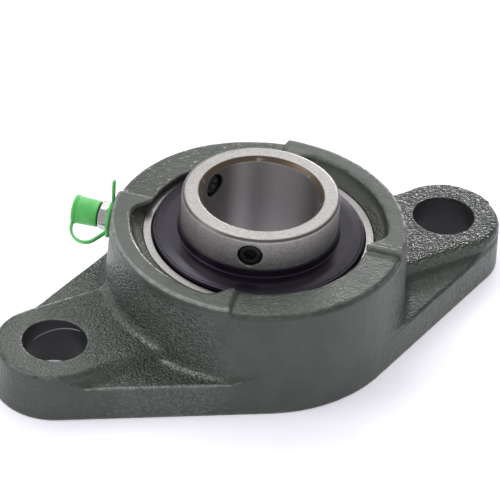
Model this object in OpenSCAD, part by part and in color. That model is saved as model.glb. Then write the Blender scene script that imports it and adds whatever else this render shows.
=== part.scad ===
// Two-bolt flange bearing: an oval cast housing with a self-aligning ball bearing insert.
// The origin is on the shaft axis at the mounting face. +Z points from the mounting face
// to the set screw end of the bearing, and +X runs along the bolt line. Millimetres.

/* [Flange] */
// Distance between the two bolt hole centres
bolt_spacing = 117; // [112:1:124]
// Bolt hole diameter
bolt_hole_d = 16; // [12:0.5:18]
// Radius of the flange ends at the mounting face
end_r = 15.5; // [14:0.1:17]
// Height of the low ledges beside the bolt pads
ledge_z = 9.6; // [8:0.1:12]
// Height of the raised bolt pads
pad_z = 13.4; // [12.5:0.1:15]
// Radius of the rounded upper edge of the bolt pads
pad_edge_r = 1.8; // [0.6:0.1:2.4]
// Casting draft of all outer walls, in degrees
draft = 2.7; // [2:0.1:6]

/* [Boss] */
// Radius of the round boss at the mounting face
boss_r = 39.4; // [38:0.1:41]
// Height of the rim above the mounting face
rim_z = 31; // [30:0.1:33]
// Radius of the rounded outer edge of the rim
rim_edge_r = 0.8; // [0.4:0.1:2]
// Radius of the fillet at the foot of the boss
foot_r = 2.4; // [1:0.1:3.5]
// Depth of the two label recesses below the rim
label_depth = 1.4; // [0.8:0.1:2]
// Radius of the rounded outer edge along the label recesses
label_edge_r = 1.6; // [0.8:0.1:2]
// Half of the angle that a label recess spans
label_half_angle = 42; // [30:1:46]
// Depth of the two side pockets at their outer wall
pocket_depth = 1.8; // [1.2:0.1:2.4]
// Further fall of the pocket floors from the outer wall to the seat
pocket_fall = 1.6; // [1:0.1:2]
// Outer radius of the side pockets at their floor
pocket_r = 32.7; // [32:0.1:34]
// Half of the width of a side pocket at its floor
pocket_half_w = 19.5; // [17:0.1:20.5]

/* [Bearing insert] */
// Shaft diameter
bore_d = 30; // [29:0.1:31]
// Diameter of the inner ring's outside
inner_d = 40.3; // [39.8:0.1:40.8]
// Width of the inner ring
inner_w = 38.1; // [36:0.1:39.5]
// Distance from the inner ring's back end to the ball plane
inner_back = 15.9; // [15:0.1:17]
// Radial size of the chamfer at the ends of the bore
bore_chamfer = 1.1; // [0.6:0.1:2]
// Height of the ball plane above the mounting face
seat_z = 18; // [17:0.1:19]
// Diameter of the outer ring's spherical outside
sphere_d = 62; // [61:0.1:62.5]
// Width of the outer ring
outer_w = 19; // [18.6:0.1:19.4]
// Ball diameter
ball_d = 9.525; // [9.2:0.025:9.7]
// Distance of the ball centres from the inner ring's outside
ball_lift = 2.85; // [2.65:0.05:3.05]
// Thickness of the cage sheet
cage_t = 0.8; // [0.6:0.1:1]
// Thickness of the flinger sheet
flinger_t = 0.5; // [0.4:0.05:0.7]
// Height of the flinger collar on the inner ring
flinger_collar = 2.2; // [1.5:0.1:3]

/* [Set screws] */
// Thread diameter of the set screws
screw_d = 6; // [5:0.5:6.5]
// Length of the set screws
screw_len = 4.75; // [4:0.05:4.75]
// Width across the flats of the hexagon socket
socket_flats = 3; // [2:0.5:3.5]
// Distance of the set screws below the inner ring's face
screw_inset = 5; // [4.5:0.1:6]
// Angle of the first set screw, counted from +X
screw_angle = 232; // [0:1:359]
// Angle between the two set screws
screw_spread = 120; // [60:5:180]

/* [Grease nipple] */
// Angle of the grease nipple, counted from +X
nipple_angle = 133; // [125:1:145]
// Height of the grease nipple above the mounting face
nipple_z = 22; // [20.5:0.1:23]
// Thread diameter of the nipple
nipple_d = 6; // [5:0.5:7]
// Width across the flats of the nipple's hexagon
nipple_flats = 7; // [6.5:0.1:7.5]
// Height of the nipple's hexagon
nipple_hex_h = 2.6; // [2:0.1:4]
// Diameter of the nipple's head
head_d = 5.8; // [5:0.1:6]
// Length of the dust cap
cap_len = 6.8; // [6.4:0.1:8]
// Outer diameter of the dust cap at its mouth
cap_mouth_d = 6.9; // [6.8:0.1:7.4]
// Diameter of the flange at the closed end of the dust cap
cap_flange_d = 7.8; // [7.6:0.1:9]
// Thickness of the strap and of its tail
strap_t = 0.7; // [0.5:0.05:1]
// Width of the strap and of its tail
strap_w = 1.4; // [1:0.1:2.4]
// Thickness of the strap's ring under the hexagon
strap_ring_t = 1; // [0.8:0.1:1.6]
// Radius of the strap's bend
strap_bend_r = 4.3; // [3.5:0.1:5]

/* [Hidden] */
$fn = 96;

// General allowances: span is larger than the part, cut reaches past a face that is cut,
// fit is the clearance of pressed, screwed and sliding pieces, and seam keeps the faces
// of touching pieces and of near-tangent solids clear of each other.
span = 240;
cut = 2;
fit = 0.05;
seam = 0.02;

// Housing: draft as a slope, the bolt line and the flat sides between the round ends.
slope = tan(draft);
bolt_x = bolt_spacing / 2;
side_angle = acos((boss_r - end_r) / bolt_x);
side_inset = 0.05;
side_x = bolt_x + end_r * cos(side_angle);
tangent_x = boss_r * cos(side_angle) - side_inset;
hole_chamfer = 0.6;
label_z = rim_z - label_depth;
pocket_z = rim_z - pocket_depth;
pocket_low_z = pocket_z - pocket_fall;
pocket_low_r = 29.5;
step_lean = 30;
pocket_lean = 12;
pocket_foot_r = 0.6;

// Spherical seat, its opening at the back and its grease groove.
sphere_r = sphere_d / 2;
back_open_r = 27.5;
back_chamfer = 1;
groove_r = 1.6;

// Bearing insert: heights of the rings, the raceways and the seals.
bore_r = bore_d / 2;
inner_r = inner_d / 2;
inner_z0 = seat_z - inner_back;
inner_z1 = inner_z0 + inner_w;
inner_chamfer = 0.6;
outer_z0 = seat_z - outer_w / 2;
outer_z1 = seat_z + outer_w / 2;
outer_chamfer = 0.5;
outer_end_r = sqrt(pow(sphere_r, 2) - pow(outer_w / 2, 2));
pitch_r = inner_r + ball_lift;
ball_r = ball_d / 2;
race_r = 0.52 * ball_d;
race_play = 0.03;
seal_seat_wall = 1.86;
seal_seat_r = outer_end_r - seal_seat_wall;
outer_land_r = (pitch_r + seal_seat_r) / 2 + 0.38;
seal_seat_w = 3.4;
grease_hole_r = 0.8;

// Cage: a ribbon of two pressed halves with one rivet between each pair of balls.
ball_count = 9;
ball_step = 360 / ball_count;
cage_w = 2.6;
cage_play = 0.1;
pocket_shell_r = ball_r + cage_play + cage_t;
rivet_r = 0.7;
rivet_head_r = 1.1;
rivet_head_h = 0.5;

// Seals and flingers, from the ball plane outwards.
seal_z = outer_z1 - seal_seat_w + seam;
seal_plate_t = 0.8;
seal_rim_h = 2.2;
seal_rim_w = 0.7;
lip_gap = 0.25;
lip_w = 1.4;
lip_h = 1.4;
flinger_z = outer_z1 + 1.5;
flinger_r = seal_seat_r - 0.45;
flinger_roll = 1.9;
flinger_drop = 1.8;

// Set screws: the tip is drawn back from the bore by this distance.
screw_tip_back = 0.15;
screw_r = screw_d / 2;
screw_z = inner_z1 - screw_inset;
socket_depth = 2.4;
screw_chamfer = 0.5;
cup_r = 1.6;
cup_depth = 0.8;

// Grease nipple: distances from the shaft axis along the nipple's own axis.
tab_drop = 7.8;
nipple_seat = boss_r - (nipple_z - tab_drop) * slope + 0.1;
nipple_seat_r = 5.2;
nipple_root = sphere_r + 1.2;
nipple_r = nipple_d / 2;
nipple_hex = nipple_seat + strap_ring_t + 2 * seam;
nipple_neck = nipple_hex + nipple_hex_h;
neck_h = 1.1;
neck_r = 2.1;
head_r = head_d / 2;
head_cone_h = 1.2;
head_h = 3;
nipple_tip = nipple_neck + neck_h + head_h;
tip_r = 1.6;
duct_r = 0.6;
check_cavity_r = 1.2;
check_ball_r = 1.1;
check_mouth_r = 0.75;
check_mouth_h = 0.8;
check_cavity_end = nipple_tip - check_mouth_h;
check_ball_x = check_cavity_end - sqrt(pow(check_ball_r, 2) - pow(check_mouth_r, 2)) - seam;
spring_wire_r = 0.14;
spring_h = 1.5;
spring_turns = 3;
spring_steps = 16;
wire_sides = 8;
spring_r = check_cavity_r - spring_wire_r - 2 * fit;
spring_pitch = (spring_h - 2 * spring_wire_r) / spring_turns;
spring_x = check_ball_x - check_ball_r - spring_h - 2 * seam;

// Dust cap, strap and ring: one soft moulding in three pieces that move differently.
cap_x = nipple_neck + 0.35;
cap_end = cap_x + cap_len;
cap_flange_h = 0.9;
cap_taper = 0.25;
cap_mouth_r = cap_mouth_d / 2;
cap_flange_r = cap_flange_d / 2;
cap_cavity_len = nipple_tip - cap_x + 0.3;
ring_hole_r = nipple_r + fit;
ring_r = 4.9;
strap_x = cap_end - strap_t / 2;
strap_top = nipple_z - cap_flange_r - seam;
strap_leg = 1.5;
bend_x = strap_x - strap_bend_r;
bend_z = strap_top - strap_leg;
bend_angle = 125;
bend_end_x = bend_x + strap_bend_r * cos(bend_angle);
bend_end_z = bend_z - strap_bend_r * sin(bend_angle);
run_angle = bend_angle - 90;
run_stop = nipple_seat + seam + strap_ring_t + seam;
run_len = (bend_end_x - run_stop) / cos(run_angle) - strap_t / 2 * tan(run_angle);
tab_z = nipple_z - tab_drop;
tail_z = rim_z + 2.8;

// Radius of the boss wall at height z.
function wall_r(z) = boss_r - z * slope;

// Half outline of a drafted wall, from the axis to a wall of radius base_r at the bottom,
// with its upper edge rounded.
module drafted_profile(base_r, top, edge_r) {
    edge_z = top - edge_r;
    edge_x = base_r - edge_z * slope - edge_r / cos(draft);
    polygon([
        [0, 0],
        [base_r, 0],
        [edge_x + edge_r * cos(draft), edge_z + edge_r * sin(draft)],
        [edge_x, top],
        [0, top]
    ]);
    translate([edge_x, edge_z])
        circle(edge_r);
}

// Half space under one drafted flat side of the flange, facing the given angle.
module side_half_space(angle) {
    rotate([0, 0, angle])
        translate([boss_r - side_inset, 0, 0])
            rotate([0, -draft, 0])
                translate([-span, -span / 2, -span / 2])
                    cube(span);
}

// Two drafted wings between the flat sides, from the boss to the flange ends.
module wings(height) {
    for (turn = [0, 180])
        rotate([0, 0, turn])
            intersection() {
                translate([tangent_x, -boss_r, 0])
                    cube([side_x - tangent_x, 2 * boss_r, height]);
                side_half_space(side_angle);
                side_half_space(-side_angle);
            }
}

// Bolt pads: a rib across the flange with a rounded end around each bolt hole.
module bolt_pads(height) {
    translate([-bolt_x, 0, 0])
        rotate([90, 0, 90])
            linear_extrude(bolt_spacing) {
                drafted_profile(end_r, height, pad_edge_r);
                mirror([1, 0])
                    drafted_profile(end_r, height, pad_edge_r);
            }
    for (turn = [0, 180])
        rotate([0, 0, turn])
            translate([bolt_x, 0, 0])
                rotate([0, 0, -90])
                    rotate_extrude(angle = 180)
                        drafted_profile(end_r, height, pad_edge_r);
}

// Ring of metal that fills the corner between the boss and a floor at height z.
module foot_fillet(z) {
    centre_z = z + foot_r - seam;
    centre_x = wall_r(centre_z) + foot_r - seam;
    rotate_extrude()
        difference() {
            polygon([
                [wall_r(z) - 2 * foot_r, z - foot_r / 2],
                [centre_x, z - foot_r / 2],
                [centre_x, centre_z],
                [wall_r(z) - 2 * foot_r, centre_z]
            ]);
            translate([centre_x, centre_z])
                circle(foot_r);
        }
}

// Sector of angles within half_angle of the Y axis, widening upwards from height z.
module rim_sector(z, half_angle, lean) {
    intersection() {
        rotate([0, 0, 90 - half_angle])
            translate([0, 0, z])
                rotate([lean, 0, 0])
                    translate([-span / 2, 0, -span / 2])
                        cube(span);
        rotate([0, 0, 90 + half_angle])
            translate([0, 0, z])
                rotate([-lean, 0, 0])
                    translate([-span / 2, -span, -span / 2])
                        cube(span);
    }
}

// Space above a label recess: the rim, lowered, keeps its rounded outer edge there.
module label_recess() {
    edge_z = label_z - label_edge_r;
    edge_x = wall_r(edge_z) - 0.94 * label_edge_r;
    intersection() {
        rotate_extrude()
            difference() {
                translate([sphere_r / 2, edge_z])
                    square([boss_r, label_edge_r + label_depth + cut]);
                translate([0, edge_z - cut])
                    square([edge_x, label_edge_r + cut]);
                translate([edge_x, edge_z])
                    circle(label_edge_r);
            }
        rim_sector(label_z, label_half_angle, step_lean);
    }
}

// Space of a side pocket: a floor that falls inwards from a sloping round outer wall,
// between two straight sloping ends.
module side_pocket() {
    top = rim_z + cut;
    top_half_w = pocket_half_w + (top - pocket_low_z) * tan(pocket_lean);
    intersection() {
        rotate_extrude() {
            polygon([
                [sphere_r / 2, pocket_low_z],
                [pocket_low_r, pocket_low_z],
                [pocket_r - pocket_foot_r, pocket_z],
                [pocket_r, pocket_z + pocket_foot_r],
                [pocket_r + (pocket_depth + cut - pocket_foot_r) * tan(pocket_lean), top],
                [sphere_r / 2, top]
            ]);
        }
        rotate([90, 0, 90])
            linear_extrude(boss_r)
                polygon([
                    [-pocket_half_w, pocket_low_z],
                    [pocket_half_w, pocket_low_z],
                    [top_half_w, top],
                    [-top_half_w, top]
                ]);
    }
}

// Places its children on the nipple's axis, with Z outwards from the shaft axis.
module on_nipple_axis() {
    translate([0, 0, nipple_z])
        rotate([0, 0, nipple_angle])
            rotate([0, 90, 0])
                children();
}

// Cast iron housing: oval flange, drafted boss, rim details and the spherical seat.
module housing() {
    color([0.30, 0.34, 0.31])
        difference() {
            union() {
                rotate_extrude()
                    drafted_profile(boss_r, rim_z, rim_edge_r);
                wings(ledge_z);
                bolt_pads(pad_z);
                intersection() {
                    foot_fillet(ledge_z);
                    wings(pad_z + foot_r);
                }
                intersection() {
                    foot_fillet(pad_z);
                    translate([-bolt_x, pad_edge_r + slope * pad_z - end_r, 0])
                        cube([bolt_spacing, 2 * (end_r - slope * pad_z - pad_edge_r), rim_z]);
                }
                on_nipple_axis()
                    translate([0, 0, sphere_r + cut])
                        cylinder(r = nipple_seat_r, h = nipple_seat - sphere_r - cut);
            }
            for (turn = [0, 180]) {
                rotate([0, 0, turn]) {
                    label_recess();
                    side_pocket();
                    translate([bolt_x, 0, -cut])
                        cylinder(d = bolt_hole_d, h = pad_z + 2 * cut);
                    translate([bolt_x, 0, pad_z - hole_chamfer])
                        cylinder(
                            d1 = bolt_hole_d,
                            d2 = bolt_hole_d + 4 * hole_chamfer,
                            h = 2 * hole_chamfer
                        );
                }
            }
            translate([0, 0, seat_z])
                sphere(sphere_r + fit);
            rotate_extrude()
                translate([sphere_r, nipple_z])
                    circle(groove_r);
            translate([0, 0, -cut])
                cylinder(r = back_open_r, h = seat_z / 2);
            translate([0, 0, -back_chamfer])
                cylinder(
                    r1 = back_open_r + 2 * back_chamfer,
                    r2 = back_open_r,
                    h = 2 * back_chamfer
                );
            on_nipple_axis()
                translate([0, 0, sphere_r - cut])
                    cylinder(r = nipple_r, h = boss_r);
        }
}

// Outer ring: spherical outside, ball groove and a seat for a seal at each end.
module outer_ring() {
    color([0.78, 0.78, 0.80])
        difference() {
            rotate_extrude()
                difference() {
                    intersection() {
                        translate([0, seat_z])
                            circle(sphere_r);
                        polygon([
                            [outer_land_r, outer_z0],
                            [sphere_r - 3 * outer_chamfer, outer_z0],
                            [sphere_r, outer_z0 + 2 * outer_chamfer],
                            [sphere_r + cut, seat_z],
                            [sphere_r, outer_z1 - 2 * outer_chamfer],
                            [sphere_r - 3 * outer_chamfer, outer_z1],
                            [outer_land_r, outer_z1]
                        ]);
                    }
                    translate([pitch_r + ball_r + race_play - race_r, seat_z])
                        circle(race_r);
                    translate([outer_land_r - cut, outer_z1 - seal_seat_w])
                        square([seal_seat_r - outer_land_r + cut, seal_seat_w + cut]);
                    translate([outer_land_r - cut, outer_z0 - cut])
                        square([seal_seat_r - outer_land_r + cut, seal_seat_w + cut]);
                }
            for (turn = [0, 180])
                rotate([0, 0, nipple_angle + turn])
                    translate([outer_land_r - cut, 0, nipple_z + grease_hole_r])
                        rotate([0, 90, 0])
                            cylinder(r = grease_hole_r, h = sphere_r);
        }
}

// Tapped hole or screw axis: places its children on set screw number i, Z outwards.
module on_screw_axis(i) {
    translate([0, 0, screw_z])
        rotate([0, 0, screw_angle - (i - 1) * screw_spread])
            rotate([0, 90, 0])
                children();
}

// Inner ring: wide ring with the bore, the ball groove and two tapped holes.
module inner_ring() {
    color([0.84, 0.83, 0.81])
        difference() {
            rotate_extrude()
                difference() {
                    polygon([
                        [bore_r + bore_chamfer, inner_z0],
                        [inner_r - inner_chamfer, inner_z0],
                        [inner_r, inner_z0 + inner_chamfer],
                        [inner_r, inner_z1 - inner_chamfer],
                        [inner_r - inner_chamfer, inner_z1],
                        [bore_r + bore_chamfer, inner_z1],
                        [bore_r, inner_z1 - bore_chamfer],
                        [bore_r, inner_z0 + bore_chamfer]
                    ]);
                    translate([pitch_r - ball_r - race_play + race_r, seat_z])
                        circle(race_r);
                }
            for (i = [1, 2])
                on_screw_axis(i)
                    translate([0, 0, bore_r - cut])
                        cylinder(r = screw_r, h = inner_r - bore_r + 2 * cut);
        }
}

// Ball number i of the ring of balls.
module ball(i) {
    color([0.90, 0.90, 0.92])
        rotate([0, 0, (i - 1) * ball_step])
            translate([pitch_r, 0, seat_z])
                sphere(ball_r);
}

// Front half of the ribbon cage, above the ball plane.
module cage_half() {
    intersection() {
        difference() {
            union() {
                translate([0, 0, seam / 2])
                    cylinder(r = pitch_r + cage_w, h = cage_t);
                for (i = [0 : ball_count - 1])
                    rotate([0, 0, i * ball_step])
                        translate([pitch_r, 0, 0])
                            sphere(pocket_shell_r);
            }
            for (i = [0 : ball_count - 1])
                rotate([0, 0, i * ball_step])
                    translate([pitch_r, 0, 0])
                        sphere(ball_r + cage_play);
            for (i = [0 : ball_count - 1])
                rotate([0, 0, (i + 0.5) * ball_step])
                    translate([pitch_r, 0, -cut])
                        cylinder(r = rivet_r, h = 2 * cut);
        }
        translate([0, 0, seam / 2])
            difference() {
                cylinder(r = pitch_r + cage_w / 2, h = ball_d);
                translate([0, 0, -cut])
                    cylinder(r = pitch_r - cage_w / 2, h = ball_d + 2 * cut);
            }
    }
}

// Pressed steel cage half on the set screw side.
module cage_front() {
    color([0.72, 0.70, 0.62])
        translate([0, 0, seat_z])
            cage_half();
}

// Pressed steel cage half on the mounting side.
module cage_back() {
    color([0.68, 0.66, 0.58])
        translate([0, 0, seat_z])
            mirror([0, 0, 1])
                cage_half();
}

// Rivets that hold the two cage halves together.
module cage_rivets() {
    head_z = cage_t + seam;
    color([0.60, 0.58, 0.52])
        for (i = [0 : ball_count - 1])
            rotate([0, 0, (i + 0.5) * ball_step])
                translate([pitch_r, 0, seat_z]) {
                    translate([0, 0, -head_z])
                        cylinder(r = rivet_r - seam, h = 2 * head_z);
                    translate([0, 0, head_z])
                        cylinder(r = rivet_head_r, h = rivet_head_h);
                    translate([0, 0, -head_z - rivet_head_h])
                        cylinder(r = rivet_head_r, h = rivet_head_h);
                }
}

// Rubber lip seal with its pressed-in rim, for the set screw side.
module seal_ring() {
    rim_x = seal_seat_r - fit;
    lip_x = inner_r + lip_gap;
    rotate_extrude()
        polygon([
            [lip_x, seal_z],
            [lip_x + lip_w, seal_z],
            [lip_x + lip_w, seal_z + lip_h - seal_plate_t],
            [rim_x - seal_rim_w, seal_z + lip_h - seal_plate_t],
            [rim_x - seal_rim_w, seal_z],
            [rim_x, seal_z],
            [rim_x, seal_z + seal_rim_h],
            [rim_x - seal_rim_w, seal_z + seal_rim_h],
            [rim_x - seal_rim_w, seal_z + lip_h],
            [lip_x, seal_z + lip_h]
        ]);
}

// Pressed steel flinger with its collar on the inner ring, for the set screw side.
module flinger_disc() {
    hub_x = inner_r + seam;
    roll_x = flinger_r - flinger_roll;
    rotate_extrude()
        polygon([
            [hub_x, flinger_z - flinger_t],
            [roll_x - 0.1, flinger_z - flinger_t],
            [roll_x + 0.38 * flinger_roll, flinger_z - flinger_t - 0.16 * flinger_drop],
            [flinger_r - flinger_t - 0.12 * flinger_roll, flinger_z - 0.72 * flinger_drop],
            [flinger_r - flinger_t, flinger_z - flinger_drop],
            [flinger_r, flinger_z - flinger_drop],
            [flinger_r - 0.1 * flinger_roll, flinger_z - 0.58 * flinger_drop],
            [roll_x + 0.58 * flinger_roll, flinger_z - 0.2 * flinger_drop],
            [roll_x, flinger_z],
            [hub_x + 1.6 * flinger_t, flinger_z],
            [hub_x + flinger_t, flinger_z + 0.6 * flinger_t],
            [hub_x + flinger_t, flinger_z + flinger_collar],
            [hub_x, flinger_z + flinger_collar]
        ]);
}

// Turns a front piece over to the same place on the mounting side.
module behind_balls() {
    translate([0, 0, 2 * seat_z])
        mirror([0, 0, 1])
            children();
}

// Seal on the set screw side.
module seal_front() {
    color([0.12, 0.12, 0.13])
        seal_ring();
}

// Seal on the mounting side.
module seal_back() {
    color([0.15, 0.15, 0.16])
        behind_balls()
            seal_ring();
}

// Flinger on the set screw side.
module flinger_front() {
    color([0.20, 0.18, 0.22])
        flinger_disc();
}

// Flinger on the mounting side.
module flinger_back() {
    color([0.24, 0.22, 0.26])
        behind_balls()
            flinger_disc();
}

// Set screw number i: hexagon socket at the outside and a cup point towards the shaft.
module set_screw(i) {
    tip = bore_r + screw_tip_back;
    head = tip + screw_len;
    color([0.10, 0.10, 0.11])
        on_screw_axis(i)
            difference() {
                rotate_extrude()
                    polygon([
                        [0, tip],
                        [screw_r - fit - 2 * screw_chamfer, tip],
                        [screw_r - fit, tip + 2 * screw_chamfer],
                        [screw_r - fit, head - screw_chamfer],
                        [screw_r - fit - screw_chamfer, head],
                        [0, head]
                    ]);
                translate([0, 0, head - socket_depth])
                    cylinder(d = socket_flats / cos(30), h = socket_depth + cut, $fn = 6);
                translate([0, 0, tip - cup_depth])
                    cylinder(r1 = 2 * cup_r, r2 = 0, h = 2 * cup_depth);
            }
}

// Zinc plated grease nipple: threaded shank, hexagon, neck and head with its duct.
module grease_nipple() {
    color([0.80, 0.80, 0.76])
        on_nipple_axis()
            difference() {
                union() {
                    rotate_extrude()
                        polygon([
                            [0, nipple_root],
                            [nipple_r - fit, nipple_root],
                            [nipple_r - fit, nipple_hex + seam],
                            [neck_r, nipple_hex + seam],
                            [neck_r, nipple_neck + neck_h],
                            [head_r, nipple_neck + neck_h + head_cone_h / 2],
                            [head_r, nipple_neck + neck_h + head_cone_h],
                            [tip_r, nipple_tip],
                            [0, nipple_tip]
                        ]);
                    translate([0, 0, nipple_hex])
                        cylinder(d = nipple_flats / cos(30), h = nipple_hex_h, $fn = 6);
                }
                translate([0, 0, nipple_root - cut])
                    cylinder(r = duct_r, h = nipple_tip - nipple_root);
                translate([0, 0, spring_x - seam])
                    cylinder(r = check_cavity_r, h = check_cavity_end - spring_x + seam);
                translate([0, 0, check_cavity_end - cut])
                    cylinder(r = check_mouth_r, h = check_mouth_h + 2 * cut);
            }
}

// Steel ball that closes the nipple's mouth from inside.
module check_ball() {
    color([0.85, 0.85, 0.88])
        on_nipple_axis()
            translate([0, 0, check_ball_x])
                sphere(check_ball_r);
}

// Corner j of the spring wire's section at step k along the coil.
function wire_point(k, j) =
    let (
        turn = 360 * k / spring_steps,
        side = 360 * j / wire_sides,
        x = spring_r + spring_wire_r * cos(side)
    )
    [
        x * cos(turn),
        x * sin(turn),
        spring_wire_r + spring_pitch * k / spring_steps + spring_wire_r * sin(side)
    ];

// Wire spring that holds the ball against the nipple's mouth.
module check_spring() {
    last = spring_steps * spring_turns;
    color([0.70, 0.70, 0.72])
        on_nipple_axis()
            translate([0, 0, spring_x])
                polyhedron(
                    points = [
                        for (k = [0 : last])
                            for (j = [0 : wire_sides - 1])
                                wire_point(k, j)
                    ],
                    faces = [
                        [for (j = [0 : wire_sides - 1]) j],
                        for (k = [0 : last - 1])
                            for (j = [0 : wire_sides - 1])
                                [
                                    k * wire_sides + j,
                                    (k + 1) * wire_sides + j,
                                    (k + 1) * wire_sides + (j + 1) % wire_sides,
                                    k * wire_sides + (j + 1) % wire_sides
                                ],
                        [for (j = [wire_sides - 1 : -1 : 0]) last * wire_sides + j]
                    ]
                );
}

// Soft plastic dust cap over the nipple's head.
module dust_cap() {
    color([0.25, 0.68, 0.30])
        on_nipple_axis()
            rotate_extrude()
                polygon([
                    [head_r + fit, cap_x],
                    [cap_mouth_r, cap_x],
                    [cap_mouth_r + cap_taper, cap_end - cap_flange_h],
                    [cap_flange_r, cap_end - cap_flange_h],
                    [cap_flange_r, cap_end],
                    [0, cap_end],
                    [0, cap_x + cap_cavity_len],
                    [head_r + fit, cap_x + cap_cavity_len]
                ]);
}

// Ring of the cap's strap, held under the nipple's hexagon, with its tail and lower tab.
module strap_ring() {
    inner_x = nipple_seat + seam;
    color([0.45, 0.72, 0.42])
        rotate([0, 0, nipple_angle])
            difference() {
                union() {
                    translate([inner_x, 0, nipple_z])
                        rotate([0, 90, 0])
                            cylinder(r = ring_r, h = strap_ring_t);
                    translate([inner_x, -strap_w / 2, nipple_z])
                        cube([strap_t, strap_w, tail_z - nipple_z]);
                    translate([inner_x, -strap_w / 2, tab_z])
                        cube([strap_ring_t, strap_w, nipple_z - tab_z]);
                }
                translate([inner_x - cut, 0, nipple_z])
                    rotate([0, 90, 0])
                        cylinder(r = ring_hole_r, h = strap_ring_t + 2 * cut);
            }
}

// Flat strap that loops from the dust cap's flange down and back to its ring.
module cap_strap() {
    color([0.42, 0.80, 0.44])
        rotate([0, 0, nipple_angle]) {
            translate([strap_x - strap_t / 2, -strap_w / 2, bend_z])
                cube([strap_t, strap_w, strap_leg]);
            translate([bend_x, 0, bend_z])
                rotate([90, 0, 0])
                    rotate([0, 0, -bend_angle])
                        rotate_extrude(angle = bend_angle)
                            translate([strap_bend_r - strap_t / 2, -strap_w / 2])
                                square([strap_t, strap_w]);
            translate([bend_end_x, 0, bend_end_z])
                rotate([0, run_angle, 0])
                    translate([-run_len, -strap_w / 2, -strap_t / 2])
                        cube([run_len, strap_w, strap_t]);
        }
}

housing();
outer_ring();
inner_ring();
ball(1);  // ball_1
ball(2);  // ball_2
ball(3);  // ball_3
ball(4);  // ball_4
ball(5);  // ball_5
ball(6);  // ball_6
ball(7);  // ball_7
ball(8);  // ball_8
ball(9);  // ball_9
cage_front();
cage_back();
cage_rivets();
seal_front();
seal_back();
flinger_front();
flinger_back();
set_screw(1);  // set_screw_1
set_screw(2);  // set_screw_2
grease_nipple();
check_ball();
check_spring();
dust_cap();
strap_ring();
cap_strap();
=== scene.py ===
# Two-bolt flange bearing: a painted iron housing with a self-aligning ball bearing insert.
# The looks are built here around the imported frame. The shaft axis is Z, the bolt line is X,
# the mounting face is at z = 0, and the sizes below are millimetres unless they say otherwise.
import math

import bpy
import numpy as np
from mathutils import Matrix


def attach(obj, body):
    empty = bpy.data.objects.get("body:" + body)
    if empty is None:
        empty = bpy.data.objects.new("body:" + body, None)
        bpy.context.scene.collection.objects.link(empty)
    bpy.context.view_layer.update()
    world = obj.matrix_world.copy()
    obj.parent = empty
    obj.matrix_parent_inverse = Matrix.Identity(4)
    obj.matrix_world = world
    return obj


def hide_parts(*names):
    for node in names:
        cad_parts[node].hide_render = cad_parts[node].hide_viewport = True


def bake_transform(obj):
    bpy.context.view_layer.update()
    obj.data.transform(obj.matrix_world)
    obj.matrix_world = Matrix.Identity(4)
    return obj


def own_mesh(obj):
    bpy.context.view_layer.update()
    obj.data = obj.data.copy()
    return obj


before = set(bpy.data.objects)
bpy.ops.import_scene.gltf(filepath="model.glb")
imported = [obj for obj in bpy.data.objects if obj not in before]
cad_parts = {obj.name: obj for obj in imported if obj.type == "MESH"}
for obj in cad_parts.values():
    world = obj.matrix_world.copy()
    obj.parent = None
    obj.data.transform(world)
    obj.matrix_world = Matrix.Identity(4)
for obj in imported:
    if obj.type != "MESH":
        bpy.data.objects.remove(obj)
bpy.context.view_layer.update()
MM = 0.001

# Camera: where the photograph was taken from, a long lens above the front left corner.
# Its angles, its distance and the shift of its aim were solved from the outline and rings.
view_azimuth, view_elevation, view_roll = (math.radians(a) for a in (-32.79, 37.49, 3.90))
view_target = np.array([0, 0, 18])
view_offset = np.array([-1.68, 3.05, 770.6])
focal_pixels, image_pixels, sensor = 2985, 500, 36
away = np.array([
    math.sin(view_azimuth) * math.cos(view_elevation),
    -math.cos(view_azimuth) * math.cos(view_elevation),
    math.sin(view_elevation),
])
side = np.array([math.cos(view_azimuth), math.sin(view_azimuth), 0])
level = np.array([side, np.cross(away, side), away])
turn = np.array([
    [math.cos(view_roll), math.sin(view_roll), 0],
    [-math.sin(view_roll), math.cos(view_roll), 0],
    [0, 0, 1],
])
axes = turn @ level
stand = np.eye(4)
stand[:3, :3] = axes.T
stand[:3, 3] = (view_target + axes.T @ view_offset) * MM
camera = bpy.data.objects.new("camera", bpy.data.cameras.new("camera"))
camera.matrix_world = Matrix(stand.tolist())
camera.data.sensor_width = sensor
camera.data.lens = focal_pixels / image_pixels * sensor
camera.data.clip_end = 20
bpy.context.scene.collection.objects.link(camera)
bpy.context.scene.camera = camera

# Housing: a grey iron sand casting with an oval flange, a drafted boss and a notched rim.
# It is painted grey green all over, thickly enough to soften the sand's grain, and the
# spherical seat, the mounting face and the bolt holes are machined.
bolt_x, bolt_hole_r, end_r = 58.5, 8, 15.5
ledge_z, pad_z, rim_z, recess_z, front_lift = 9.6, 13.4, 31, 29.6, 0.5
boss_r, draft = 39.4, math.radians(2.7)
recess_half = math.radians(42)
pocket_r, pocket_z, pocket_half_w, pocket_inside_r = 32.7, 29.2, 19.5, 20
pocket_lean, floor_slope, floor_cosine = math.tan(math.radians(12)), 0.6, 0.86
pocket_low_r, pocket_low_z = 29.5, 27.6
seat_z, seat_r, back_open_r = 18, 31.05, 27.5
nipple_angle, nipple_z, nipple_seat = math.radians(133), 22, 38.83
nipple_side, seat_pad_r, tapping_r, tapping_start = 20, 5.2, 3, 25
# Rounding of the casting's edges and of the corners between its forms.
ledge_edge_r, pad_edge_r, pad_tip_edge_r, right_pad_more_r = 0.6, 2.2, 1.1, 0.9
root_fillet_r, recess_edge_r, land_edge_r = 2.6, 1.5, 0.9
pocket_corner_r, pocket_foot_r, pocket_edge_r = 1.8, 1.0, 0.45
seat_edge_r, hole_edge_r, back_edge_r = 0.35, 0.5, 0.4


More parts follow.
